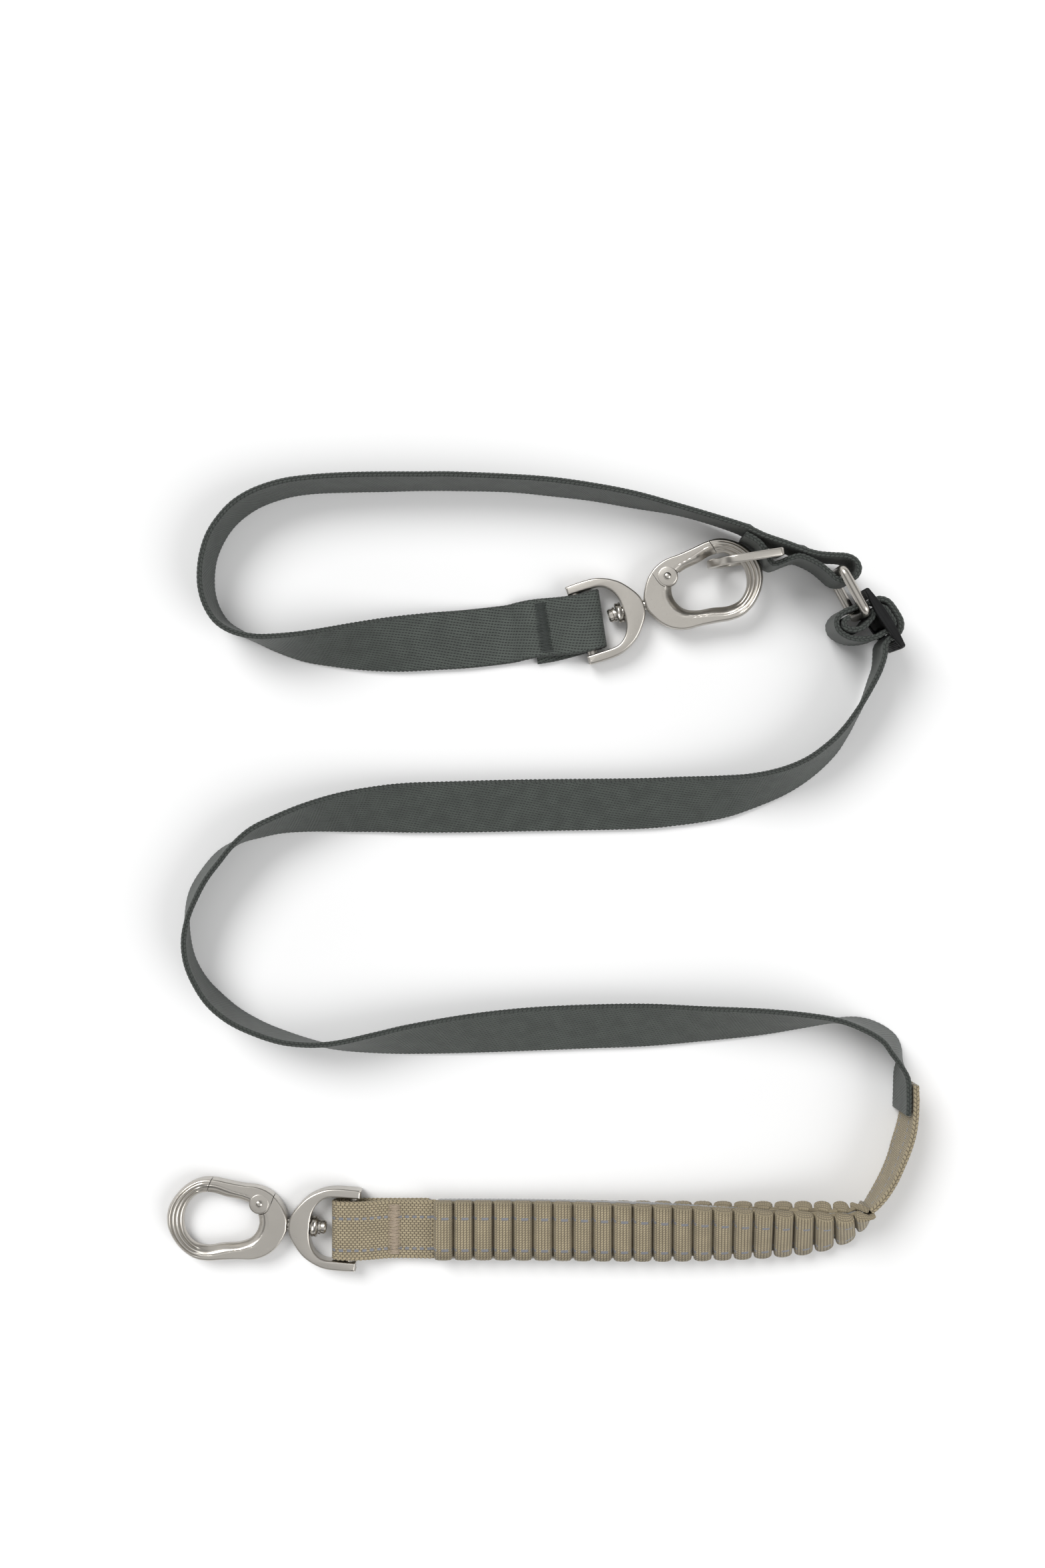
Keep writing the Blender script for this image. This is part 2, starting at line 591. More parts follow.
def strap_mesh(name, runs):
    """Woven straps in one mesh, with two rows of yarn loops along each edge."""
    around = 2 * (len(FACE_PLACES) + len(RIM_PLACES))
    points, faces, numbers = [], [], []
    for run in runs:
        first = len(points)
        faces += [tuple(first + corner for corner in face) for face in loft_faces(len(run), around)]
        for distance, point, side, up, width, half, dash, gather in run:
            edge = []
            for t in RIM_PLACES:
                down = abs(t)
                turn = distance / EDGE_PITCH + EDGE_SLANT * down + (0.5 if t < 0 else 0.0)
                loop = abs(math.sin(math.pi * turn)) ** 0.8 * (1.0 - 0.5 * gather)
                crest = max(0.0, 1.0 - (2.0 * down - 1.0) ** 2)
                curve = (EDGE_CURVE + GATHERED_CURVE * gather) * down ** 4
                out = 0.5 * width - EDGE_INSET - curve + LOOP_OUT * crest * loop
                swell = 1.0 + LOOP_SWELL * loop * min(1.0, 2.0 * down) * (1.0 - gather)
                edge.append((out, half * t * swell, t))
            flat = 0.5 * width - RIM
            ring = [(share * flat, half, 1.0, 0.0) for share in FACE_PLACES]
            ring += [(out, high, t, 1.0) for out, high, t in edge]
            ring += [(-share * flat, -half, -1.0, 0.0) for share in FACE_PLACES]
            ring += [(-out, high, t, 1.0) for out, high, t in reversed(edge)]
            for a, b, depth, rim in ring:
                points.append(point + side * a + up * b)
                numbers.append((distance, a, rim, depth, dash, gather))
    labels = ("along", "across", "edge", "depth", "dash", "gather")
    mesh = outward(mesh_of(name, points, faces, dict(zip(labels, zip(*numbers)))))
    smooth_shade(mesh)
    return mesh


def wire_mesh(name, line, radius, sides, cyclic=False):
    """Round wire through a list of points."""
    curve = bpy.data.curves.new(name, "CURVE")
    curve.dimensions = "3D"
    curve.bevel_depth = radius * MM
    curve.bevel_resolution = sides
    curve.use_fill_caps = True
    add_lines(curve, [[Vector(point) * MM for point in line]], cyclic)
    mesh = curve_mesh(curve)
    smooth_shade(mesh)
    return mesh


def add_lines(curve, lines, cyclic):
    """Straight-sided splines through lists of points in metres."""
    for line in lines:
        run = curve.splines.new("POLY")
        run.points.add(len(line) - 1)
        for spot, point in zip(run.points, line):
            spot.co = (*point, 1.0)
        run.use_cyclic_u = cyclic


def bar_tack(name, sections, middle, reach, thick, seed):
    """A band of dense zigzag stitching on a strap's underside, with ends of uneven length."""
    chance = random.Random(seed)
    count = int(SEAM_WIDTH / SEAM_PITCH)
    halfway = min(sections, key=lambda item: abs(item[0] - middle))
    line = []
    for k in range(count):
        across = -0.5 * SEAM_WIDTH + SEAM_WIDTH * (k + 0.5) / count
        for end in (-1, 1):
            where = middle + end * reach * chance.uniform(0.82, 1.06)
            _, point, side, up = min(sections, key=lambda item: abs(item[0] - where))
            lift = 0.5 * thick + STITCH_LIFT + chance.uniform(0.0, 0.14)
            spot = point + side * (across + chance.uniform(-STITCH_STRAY, STITCH_STRAY))
            line.append(spot - up * (0.5 * thick + STITCH_SINK))
            if end < 0:
                line.append(halfway[1] + halfway[2] * (across + 0.1) - halfway[3] * lift)
    return wire_mesh(name, line, SEAM_THREAD, 1)


def curve_mesh(curve):
    """The mesh of a curve, with its caps joined on."""
    temp = linked("temp", curve)
    mesh = evaluated(temp)
    bpy.data.objects.remove(temp, do_unlink=True)
    bpy.data.curves.remove(curve)
    return outward(mesh, joined=True)


def plate(name, loops, half, rounding=0.0, steps=3):
    """Mesh of flat outlines (the first is the outer one), half thick to each side, with rounded edges."""
    curve = bpy.data.curves.new(name, "CURVE")
    curve.dimensions = "2D"
    curve.fill_mode = "BOTH"
    curve.extrude = (half - rounding) * MM
    curve.bevel_depth = rounding * MM
    curve.bevel_resolution = steps
    curve.offset = -rounding * MM
    add_lines(curve, [[(x * MM, y * MM, 0.0) for x, y in loop] for loop in loops], True)
    return curve_mesh(curve)


def turned_mesh(name, profile, steps=48, closed=False):
    """A skin turned about X from a profile of (radius, x), which ends on the axis unless it is closed."""
    inner = profile if closed else profile[1:-1]
    turns = [math.tau * k / steps for k in range(steps)]
    points = [(x, radius * math.cos(turn), radius * math.sin(turn)) for radius, x in inner for turn in turns]
    mesh = outward(mesh_of(name, points, loft_faces(len(inner), steps, closed)))
    smooth_shade(mesh, 38)
    return mesh


def rod_mesh(name, radius, low, high, at=(0, 0, 0), turn=(0, 0, 0)):
    """A rod or a cutter along Z, turned and then moved."""
    mesh = bpy.data.meshes.new(name)
    build = bmesh.new()
    bmesh.ops.create_cone(build, cap_ends=True, segments=48, radius1=radius * MM, radius2=radius * MM,
                          depth=(high - low) * MM)
    bmesh.ops.translate(build, verts=build.verts, vec=(0.0, 0.0, 0.5 * (low + high) * MM))
    build.to_mesh(mesh)
    build.free()
    return moved(mesh, at, turn)


def changed(mesh, *steps):
    """The mesh after Boolean steps of (operation, other mesh)."""
    temp = linked("temp", mesh)
    tools = [linked("tool", other) for _, other in steps]
    for (operation, _), tool in zip(steps, tools):
        change = temp.modifiers.new("change", "BOOLEAN")
        change.operation = operation
        change.object = tool
    result = evaluated(temp)
    for extra in [temp] + tools:
        bpy.data.objects.remove(extra, do_unlink=True)
    smooth_shade(result, 32)
    return result


def placing(location, turn):
    """The matrix that turns by degrees about X, Y and Z and then moves by millimetres."""
    temp = bpy.data.objects.new("temp", None)
    temp.rotation_euler = [math.radians(angle) for angle in turn]
    temp.location = Vector(location) * MM
    matrix = temp.matrix_basis.copy()
    bpy.data.objects.remove(temp)
    return matrix


def moved(mesh, location=(0, 0, 0), turn=(0, 0, 0)):
    mesh.transform(placing(location, turn))
    mesh.update()
    return mesh


def arc(centre, radius, start, end, count):
    out = []
    for k in range(count + 1):
        angle = math.radians(start + (end - start) * k / count)
        out.append((centre[0] + radius * math.cos(angle), centre[1] + radius * math.sin(angle)))
    return out


def rounded_box(x, y, radius):
    """Outline of a box whose round corners have their centres at plus and minus x and y."""
    out = []
    for cx, cy, start in ((x, y, 0), (-x, y, 90), (-x, -y, 180), (x, -y, 270)):
        out += arc((cx, cy), radius, start, start + 90, 8)
    return out


def through(points, per):
    """A Catmull-Rom line through (x, y) points."""
    line = [Vector(p) for p in points]
    last = len(line) - 1
    out = []
    for i in range(last):
        near = [line[max(0, min(last, i + j))] for j in (-1, 0, 1, 2)]
        for k in range(per):
            out.append(spline(*near, k / per))
    out.append(line[-1])
    return out


def even(line, count):
    """Points spread evenly along a line."""
    lengths = [0.0]
    for a, b in zip(line, line[1:]):
        lengths.append(lengths[-1] + (b - a).length)
    out = []
    i = 0
    for k in range(count + 1):
        want = lengths[-1] * k / count
        while i < len(line) - 2 and lengths[i + 1] < want:
            i += 1
        out.append(line[i].lerp(line[i + 1], (want - lengths[i]) / (lengths[i + 1] - lengths[i])))
    return out


# ---- materials

class Nodes:
    """Short calls for building a material's nodes."""

    def __init__(self, name):
        self.material = bpy.data.materials.new(name)
        self.material.use_nodes = True
        self.tree = self.material.node_tree
        self.shader = self.tree.nodes["Principled BSDF"]

    def join(self, value, socket):
        if isinstance(value, bpy.types.NodeSocket):
            self.tree.links.new(value, socket)
        else:
            socket.default_value = (*value, 1.0) if isinstance(value, tuple) else value

    def feed(self, node, **inputs):
        """Give a node its inputs. An underscore stands for a space in a name."""
        for name, value in inputs.items():
            self.join(value, node.inputs[name.replace("_", " ")])

    def new(self, kind):
        return self.tree.nodes.new(f"ShaderNode{kind}")

    def math(self, operation, *values):
        node = self.new("Math")
        node.operation = operation
        for value, socket in zip(values, node.inputs):
            self.join(value, socket)
        return node.outputs[0]

    def times(self, first, second):
        return self.math("MULTIPLY", first, second)

    def minus(self, first, second):
        return self.math("SUBTRACT", first, second)

    def scaled(self, value, by, plus):
        return self.math("MULTIPLY_ADD", value, by, plus)

    def number(self, name):
        node = self.new("Attribute")
        node.attribute_name = name
        return node.outputs["Fac"]

    def wave(self, value, period, shift=0.0):
        """A sine of a length in millimetres, from 0 to 1."""
        turn = self.scaled(value, math.tau / period, shift)
        return self.scaled(self.math("SINE", turn), 0.5, 0.5)

    def between(self, value, low, high):
        node = self.new("MapRange")
        node.interpolation_type = "SMOOTHSTEP"
        self.feed(node, Value=value, From_Min=low, From_Max=high)
        return node.outputs["Result"]

    def noise(self, scale, detail=3.0):
        where = self.new("TexCoord")
        node = self.new("TexNoise")
        self.feed(node, Scale=scale, Detail=detail, Vector=where.outputs["Object"])
        return node.outputs["Fac"]

    def mix(self, share, first, second):
        node = self.new("Mix")
        node.data_type = "RGBA"
        for value, at in ((share, 0), (first, 6), (second, 7)):
            self.join(value, node.inputs[at])
        return node.outputs[2]

    def bump(self, height, strength, distance):
        node = self.new("Bump")
        self.feed(node, Strength=strength, Distance=distance * MM, Height=height)
        self.feed(self.shader, Normal=node.outputs["Normal"])


def shade(colour, by):
    return tuple(c * by for c in colour)


def edge_pattern(mat, along):
    """Dark gaps between the two rows of yarn loops along a strap's edges, and between the loops."""
    depth = mat.number("depth")
    down = mat.math("ABSOLUTE", depth)
    turn = mat.scaled(down, EDGE_SLANT, mat.math("DIVIDE", along, EDGE_PITCH))
    turn = mat.scaled(mat.math("LESS_THAN", depth, 0.0), 0.5, turn)
    loop = mat.math("ABSOLUTE", mat.math("SINE", mat.times(turn, math.pi)))
    return mat.math("MAXIMUM", mat.between(loop, 0.5, 0.1), mat.between(down, 0.16, 0.02))


def woven(mat, along, face, loops):
    """How dark the cloth is, given its face's and its edges' patterns, and how much each point is edge."""
    edge = mat.between(mat.number("edge"), 0.25, 0.75)
    rim = mat.times(mat.times(loops, 0.8), edge)
    return mat.scaled(face, mat.minus(1.0, edge), rim), edge


def green_webbing():
    """Polyester webbing with slanting rows of short dark dashes and a looped edge."""
    mat = Nodes("green_webbing")
    along, across = mat.number("along"), mat.number("across")
    wander = mat.scaled(mat.noise(240.0, 2.0), 0.5, across)
    row = mat.scaled(along, -0.23, wander)
    lines = mat.between(mat.wave(row, ROW_PITCH), 0.58, 0.92)
    slant = mat.scaled(across, 0.42, along)
    dashes = mat.between(mat.wave(slant, DASH_PITCH), 0.10, 0.45)
    face = mat.times(lines, dashes)
    dark, edge = woven(mat, along, face, edge_pattern(mat, along))
    worn = mat.mix(mat.between(mat.noise(160.0), 0.3, 0.7), GREEN, shade(GREEN, 1.3))
    worn = mat.mix(mat.times(edge, 0.7), worn, shade(GREEN, 0.6))
    mat.feed(mat.shader, Base_Color=mat.mix(mat.times(dark, 0.9), worn, GREEN_DARK), Roughness=0.66,
             Sheen_Weight=0.1, Sheen_Roughness=0.5)
    ribs = mat.times(mat.wave(slant, ROW_PITCH, 2.0), 0.3)
    mat.bump(mat.minus(ribs, dark), 0.9, 0.3)
    return mat.material


def tan_webbing():
    """Knitted tan webbing with two dashed grey reflective threads: cells where flat, ribs where gathered."""
    mat = Nodes("tan_webbing")
    along, across = mat.number("along"), mat.number("across")
    gather = mat.number("gather")
    wander = mat.scaled(mat.noise(260.0, 2.0), 0.5, along)
    # Flat: rows of cells, each row shifted by half a cell
    row = mat.math("DIVIDE", across, CELL_WIDTH)
    shift = mat.times(mat.math("FLOORED_MODULO", mat.math("FLOOR", row), 2.0), 0.5 * CELL_LENGTH)
    between_rows = mat.between(mat.wave(across, CELL_WIDTH, -0.5 * math.pi), 0.3, 0.06)
    between_cells = mat.between(mat.wave(mat.math("ADD", wander, shift), CELL_LENGTH), 0.22, 0.04)
    cells = mat.math("MAXIMUM", mat.times(between_rows, 0.75), between_cells)
    # Gathered: ribs across the strap, each a column of chevrons
    within = mat.math("PINGPONG", mat.math("DIVIDE", along, RIB_PITCH), 0.5)
    chevron = mat.wave(mat.scaled(within, 0.9, across), 1.05)
    columns = mat.between(mat.wave(along, RIB_PITCH), 0.3, 0.03)
    ribs = mat.math("MAXIMUM", mat.times(mat.between(chevron, 0.35, 0.05), 0.65), columns)
    face = mat.math("ADD", mat.times(cells, mat.minus(1.0, gather)), mat.times(ribs, gather))
    # The gathered edges show short arcs of yarn round each lobe's middle
    depth = mat.number("depth")
    yarn = mat.scaled(mat.wave(along, RIB_PITCH), 0.10, depth)
    arcs = mat.between(mat.wave(yarn, 0.42), 0.3, 0.05)
    gaps = mat.times(mat.between(mat.wave(along, RIB_PITCH), 0.2, 0.03), 0.7)
    arcs = mat.math("MAXIMUM", arcs, gaps)
    loops = mat.math("ADD", mat.times(arcs, gather),
                     mat.times(edge_pattern(mat, along), mat.minus(1.0, gather)))
    dark, edge = woven(mat, along, face, loops)
    worn = mat.mix(mat.between(mat.noise(140.0), 0.3, 0.7), TAN, shade(TAN, 1.15))
    worn = mat.mix(mat.times(edge, 0.5), worn, shade(TAN, 0.7))
    cloth = mat.mix(mat.times(dark, 0.72), worn, TAN_DARK)
    threads = None
    for middle in THREAD_PLACES:
        near = mat.between(mat.math("ABSOLUTE", mat.minus(across, middle)), 0.68, 0.46)
        threads = near if threads is None else mat.math("MAXIMUM", threads, near)
    shown = mat.between(mat.wave(mat.number("dash"), 1.0), 0.36, 0.46)
    dashes = mat.times(mat.times(threads, shown), mat.minus(1.0, edge))
    mat.feed(mat.shader, Base_Color=mat.mix(dashes, cloth, GREY_THREAD),
             Roughness=mat.scaled(dashes, -0.35, 0.78), Sheen_Weight=0.12, Sheen_Roughness=0.5)
    mat.bump(mat.minus(mat.times(dashes, 0.4), dark), 0.9, 0.35)
    return mat.material


def cloth_thread(name, colour):
    mat = Nodes(name)
    twist = mat.noise(2600.0, 2.0)
    mat.feed(mat.shader, Base_Color=mat.mix(twist, shade(colour, 0.7), shade(colour, 1.25)), Roughness=0.75,
             Sheen_Weight=0.2)
    mat.bump(twist, 0.5, 0.1)
    return mat.material


def elastic():
    """Grey elastic with fine ribs along it."""
    mat = Nodes("elastic")
    ribs = mat.wave(mat.number("across"), 0.9)
    weave = mat.wave(mat.number("along"), 0.7)
    height = mat.times(ribs, mat.scaled(weave, 0.4, 0.6))
    mat.feed(mat.shader, Base_Color=mat.mix(height, shade(ELASTIC, 0.62), ELASTIC), Roughness=0.7)
    mat.bump(height, 0.6, 0.2)
    return mat.material


def nickel(name, rough):
    """Satin nickel plate over a die casting: fine grain, faint waves and small pits."""
    mat = Nodes(name)
    broad = mat.noise(75.0, 3.0)
    grain = mat.noise(1500.0, 4.0)
    pits = mat.between(mat.noise(900.0, 1.0), 0.27, 0.2)
    mat.feed(mat.shader, Base_Color=mat.mix(broad, shade(NICKEL, 0.93), shade(NICKEL, 1.04)), Metallic=1.0,
             Roughness=mat.scaled(grain, 0.12, rough))
    height = mat.math("ADD", mat.times(broad, 2.0), mat.times(grain, 0.12))
    mat.bump(mat.minus(height, pits), 0.35, 0.1)
    return mat.material


def black_plastic():
    mat = Nodes("black_plastic")
    grain = mat.noise(1800.0, 3.0)
    wear = mat.between(mat.noise(120.0, 4.0), 0.35, 0.75)
    mat.feed(mat.shader, Base_Color=mat.mix(wear, BLACK, shade(BLACK, 1.9)),
             Roughness=mat.scaled(wear, 0.12, 0.48), Specular_IOR_Level=0.22)
    mat.bump(grain, 0.35, 0.08)
    return mat.material


def floor_finish():
    mat = Nodes("floor")
    mat.feed(mat.shader, Base_Color=(0.86, 0.86, 0.86), Roughness=0.9, Specular_IOR_Level=0.1)
    return mat.material


# ---- snap hooks

def hook_profile(width, nose, half):
    """Upper side of the hook's section, from the inner edge to the outer: (share of the width, height).

    Beside the eye is a polished slope, then a flat plate with a rounded edge. Towards the nose the section
    turns to rounded ridges that climb from the eye to the outer edge.
    """
    out = []
    for k in range(HOOK_SECTION + 1):
        share = 0.5 - 0.5 * math.cos(math.pi * k / HOOK_SECTION)
        reach = share * width
        left = width - reach
        plain = half
        if reach < SLOPE_WIDTH:
            plain = half * (1.0 - SLOPE_DROP * (1.0 - reach / SLOPE_WIDTH) ** 1.6)
        elif reach < SLOPE_WIDTH + GROOVE_WIDTH:
            plain = half - GROOVE_DEPTH * math.sin(math.pi * (reach - SLOPE_WIDTH) / GROOVE_WIDTH)
        if left < EDGE_ROUND:
            turned = math.sqrt(max(0.0, 1.0 - (1.0 - left / EDGE_ROUND) ** 2))
            plain -= half * EDGE_DROP * (1.0 - turned)
        climb = NOSE_LOW + NOSE_RISE * math.sin(0.5 * math.pi * min(1.0, share / NOSE_SHARE))
        ridge = RIDGE_RISE * abs(math.sin(math.pi * NOSE_RIDGES * share)) ** RIDGE_ROUND
        steps = half * (climb + ridge)
        for gap, over, drop in ((left, 1.4, 0.40), (reach, 0.8, 0.22)):
            if gap < over:
                steps -= half * drop * (1.0 - gap / over) ** 2
        out.append((share, plain + (steps - plain) * nose))
    return out


def hook_ring(name, half):
    """The hook's closed ring, X from its heel to its nose."""
    outer = even(through([(0, 0)] + HOOK_OUTER, 6), HOOK_ROWS)
    inner = even(through(HOOK_INNER, 6), HOOK_ROWS)
    loop = list(zip(inner, outer))
    rows = loop + [(Vector((a.x, -a.y)), Vector((b.x, -b.y))) for a, b in reversed(loop[1:-1])]
    points = []
    for near, far in rows:
        nose = ease((0.5 * (near.x + far.x) - NOSE_FROM) / NOSE_OVER)
        upper = hook_profile((far - near).length, nose, half)
        for share, height in upper + [(share, -height) for share, height in reversed(upper)]:
            spot = near.lerp(far, share)
            points.append((spot.x + HOOK_START, spot.y, height))
    return outward(mesh_of(name, points, loft_faces(len(rows), len(points) // len(rows), closed=True)))


def gate_zone(extra):
    """Outline of the gate's share of the hook, grown on all sides by extra."""
    outer, corner, inner = SPLIT
    zone = [(outer[0] - extra, outer[1] + 3.0), (corner[0] - extra, corner[1]), (inner[0] - extra, inner[1])]
    zone += arc(PIN, FOOT_RADIUS + extra, 196, 330, 28)
    zone += arc(PIN, NOSE_RADIUS - SPLIT_GAP + extra, -8, 34, 24)
    return [(x + HOOK_START, y) for x, y in zone]


def snap_hook(tag, bar, heading, rise, flip, finish, fittings):
    """A bail, a swivelling hook and its gate, in the places of their CAD nodes."""
    where = placing(bar, (flip, -rise, heading))
    pin = (PIN[0] + HOOK_START, PIN[1])

    def put(name, mesh, body, surface):
        mesh.transform(where)
        mesh.update()
        fitted(f"{name}_visual_{tag}", mesh, surface, f"{body}_{tag}", f"{name}_{tag}")

    # Bail
    outer = through(BAIL_OUTER + [(x, -y) for x, y in reversed(BAIL_OUTER[:-1])], 6)
    inner = through([(x, -y) for x, y in BAIL_INNER] + list(reversed(BAIL_INNER[:-1])), 6)
    outline = [(p.x, p.y) for p in outer + inner]
    bar_rod = rod_mesh("bar", BAR_RADIUS, -BAR_HALF, BAR_HALF, turn=(90, 0, 0))
    hole = rod_mesh("hole", SHAFT_HOLE_RADIUS, HOLE_START, HOLE_END, turn=(0, 90, 0))
    bail = changed(plate("bail", [outline], METAL_HALF, 0.8, 4), ("UNION", bar_rod), ("DIFFERENCE", hole))
    put("bail", bail, "bail", finish)

    # Swivel
    middle, half = 0.5 * (WASHER_START + WASHER_END), 0.5 * (WASHER_END - WASHER_START)
    side = [(SHAFT_HOLE_RADIUS, half), (WASHER_RADIUS - 0.5, half), (WASHER_RADIUS, half - 0.5),
            (WASHER_RADIUS - 0.35, 0.2)]
    washer = [(r, middle + x) for r, x in side] + [(r, middle - x) for r, x in reversed(side)]
    put("swivel_washer", turned_mesh("washer", washer, closed=True), "bail", fittings)
    end = HOOK_START + SHAFT_DEPTH - SPLIT_GAP
    rivet = [(0.0, end), (SHAFT_RADIUS - 0.4, end), (SHAFT_RADIUS, end - 0.4), (SHAFT_RADIUS, HEAD_END),
             (HEAD_RADIUS, HEAD_END - 0.1), (HEAD_RADIUS, HEAD_END - 0.9),
             (HEAD_RADIUS - 0.45, HEAD_END - 1.2), (HEAD_RADIUS - 0.3, HEAD_START + 0.8),
             (HEAD_RADIUS - 0.9, HEAD_START), (HEAD_RADIUS - 1.7, HEAD_START),
             (HEAD_RADIUS - 2.0, HEAD_START + 0.35), (0.0, HEAD_START + 0.35)]
    put("swivel_rivet", turned_mesh("rivet", rivet), "hook", fittings)

    # Hook body
    away = Vector((math.cos(math.radians(TONGUE_HEADING)), math.sin(math.radians(TONGUE_HEADING))))
    across = Vector((-away.y, away.x)) * TONGUE_HALF
    end = Vector(pin) + away * TONGUE_REACH
    root = [tuple(end - across), tuple(end + across)]
    outline = root + arc(pin, TONGUE_RADIUS, TONGUE_HEADING + 45, TONGUE_HEADING + 315, 24)
    tongue = moved(plate("tongue", [outline], 0.5 * (TONGUE_HIGH - TONGUE_LOW)),
                   (0, 0, 0.5 * (TONGUE_HIGH + TONGUE_LOW)))
    room = plate("room", [gate_zone(SPLIT_GAP)], METAL_HALF + CUT)
    pin_hole = rod_mesh("pin_hole", PIN_HOLE_RADIUS, -3.0, 3.0, (*pin, 0))
    bore = rod_mesh("bore", SHAFT_HOLE_RADIUS, HOOK_START - 3.0, HOOK_START + SHAFT_DEPTH, turn=(0, 90, 0))
    body = changed(hook_ring("hook", METAL_HALF), ("DIFFERENCE", room), ("UNION", tongue),
                   ("DIFFERENCE", pin_hole), ("DIFFERENCE", bore))
    put("hook_body", body, "hook", finish)

    # Gate
    share = plate("share", [gate_zone(0.0)], METAL_HALF + CUT)
    disc = arc((0, 0), FOOT_RADIUS - 0.05, 0, 350, 35)
    foot = moved(plate("foot", [disc], GATE_HALF + 0.06, 0.7), (*pin, 0))
    fork = rod_mesh("fork", FORK_RADIUS, -SLOT_HALF, SLOT_HALF, (*pin, 0))
    hole = rod_mesh("gate_hole", PIN_HOLE_RADIUS, -6.0, 6.0, (*pin, 0))
    gate = changed(hook_ring("gate", GATE_HALF), ("INTERSECT", share), ("UNION", foot), ("DIFFERENCE", fork),
                   ("DIFFERENCE", hole))
    put("gate", gate, "gate", finish)

    # Pin and spring
    top = METAL_HALF + 0.55
    low = GATE_HALF + SPLIT_GAP
    side = [(0.0, top), (0.5, top - 0.04), (1.0, top - 0.18), (1.4, top - 0.42), (PIN_HEAD_RADIUS, top - 0.8),
            (PIN_HEAD_RADIUS, low), (PIN_RADIUS, low)]
    profile = side + [(radius, -height) for radius, height in reversed(side)]
    rod = moved(turned_mesh("pin", profile), turn=(0, -90, 0))
    put("gate_pin", moved(rod, (*pin, 0)), "hook", fittings)
    coil = []
    turns = 40
    for k in range(SPRING_TURNS * turns + 1):
        angle = math.tau * k / turns
        coil.append((pin[0] + SPRING_RADIUS * math.cos(angle), pin[1] + SPRING_RADIUS * math.sin(angle),
                     SPRING_LOW + SPRING_PITCH * k / turns))
    put("gate_spring", wire_mesh("spring", coil, SPRING_WIRE, 3), "hook", fittings)


# ---- rings and slider

def d_ring(finish):
    inside = RING_HALF - RING_STOCK
    half = 0.5 * RING_STOCK
    bow = RING_REACH - RING_STRAIGHT
    loops = []
    for start, side, reach, corner, count in ((-half, RING_HALF, bow, RING_CORNER, 8),
                                              (half, inside, bow - RING_STOCK, RING_INNER_CORNER, 6)):
        loop = arc((start + corner, -side + corner), corner, 180, 262, count)
        loop += [(RING_STRAIGHT + reach * x, side * y) for x, y in arc((0, 0), 1.0, -90, 90, 48)]
        loop += arc((start + corner, side - corner), corner, 98, 180, count)
        loops.append(loop)
    mesh = plate("ring", loops, 0.5 * RING_THICK, 0.7, 4)
    smooth_shade(mesh, 40)
    moved(mesh, (*RING_BAR, RING_CENTRE), (90 + RING_LEAN, 0, RING_HEADING))
    fitted("d_ring_visual", mesh, finish, "d_ring", "d_ring")


def link_ring(finish):
    near, far = (Vector(rod) for rod in LINK_RODS)
    span = (far - near).length
    low, high, corner = LINK_LOW, LINK_HIGH, LINK_CORNER
    points = []
    for x, z, start in ((corner, high - corner, 180), (span - corner, high - corner, 90),
                        (span - corner, low + corner, 0), (corner, low + corner, -90)):
        for k in range(13):
            angle = math.radians(start - 7.5 * k)
            points.append((x + corner * math.cos(angle), 0.0, z + corner * math.sin(angle)))
    mesh = wire_mesh("link", points, LINK_RADIUS, 8, True)
    heading = math.degrees(math.atan2(far.y - near.y, far.x - near.x))
    moved(mesh, (near.x, near.y, 0.0), (0, 0, heading))
    fitted("link_ring_visual", mesh, finish, "link", "link_ring")


def slider(finish):
    """Two lens-shaped rails joined by two end bars and a thick round-edged middle bar."""
    middle = 0.5 * (SLIDER_HIGH + SLIDER_LOW)
    half_height = 0.5 * (SLIDER_HIGH - SLIDER_LOW)
    loops = [rounded_box(SLIDER_HALF_LENGTH - SLIDER_CORNER, half_height - SLIDER_CORNER, SLIDER_CORNER)]
    for sign in (-1, 1):
        near, far = SLIT_NEAR * sign, SLIT_FAR * sign
        low, high = SLIT_LOW - middle, SLIT_HIGH - middle
        loops.append([(near, low), (far, low), (far, high), (near, high)])
    body = plate("slider", loops, SLIDER_HALF_THICK, 0.35, 3)
    radius = BAR_HALF_THICK - 0.1
    profile = rounded_box(BAR_HALF_WIDTH - radius, 0.1, radius)
    bar = moved(plate("bar", [profile], 0.5 * (SLIT_HIGH - SLIT_LOW) + 0.8), turn=(90, 0, 0))
    steps = [("UNION", bar)]
    lens = []
    length = SLIDER_HALF_LENGTH - 0.6
    for k in range(25):
        s = -length + 2 * length * k / 24
        lens.append((s, 0.95 + (RAIL_HALF_THICK - 0.95) * math.cos(0.5 * math.pi * s / length)))
    lens += [(s, -n) for s, n in reversed(lens)]
    for low, high in ((SLIT_HIGH + 0.2, SLIDER_HIGH - 0.1), (SLIDER_LOW + 0.1, SLIT_LOW - 0.2)):
        rail = moved(plate("rail", [lens], 0.5 * (high - low), 0.45, 3), turn=(90, 0, 0))
        moved(rail, (0, 0.5 * (low + high) - middle, 0))
        steps.append(("UNION", rail))
    for k in range(GRIP_RIBS):
        s = SLIT_FAR + GRIP_START + GRIP_PITCH * k
        rib = plate("rib", [arc((s, 0), GRIP_RADIUS, 0, 330, 11)], half_height - 4.0)
        rib = moved(rib, turn=(90, 0, 0))
        for sign in (-1, 1):
            steps.append(("UNION", moved(rib.copy(), (0, 0, -SLIDER_HALF_THICK * sign))))
    mesh = changed(body, *steps)
    heading = math.degrees(math.atan2(SLIDER_ALONG.y, SLIDER_ALONG.x))
    moved(mesh, (*SLIDER_MIDDLE, middle), (90, 0, heading))
    fitted("slider_visual", mesh, finish, "lead", "slider")


# ---- scene

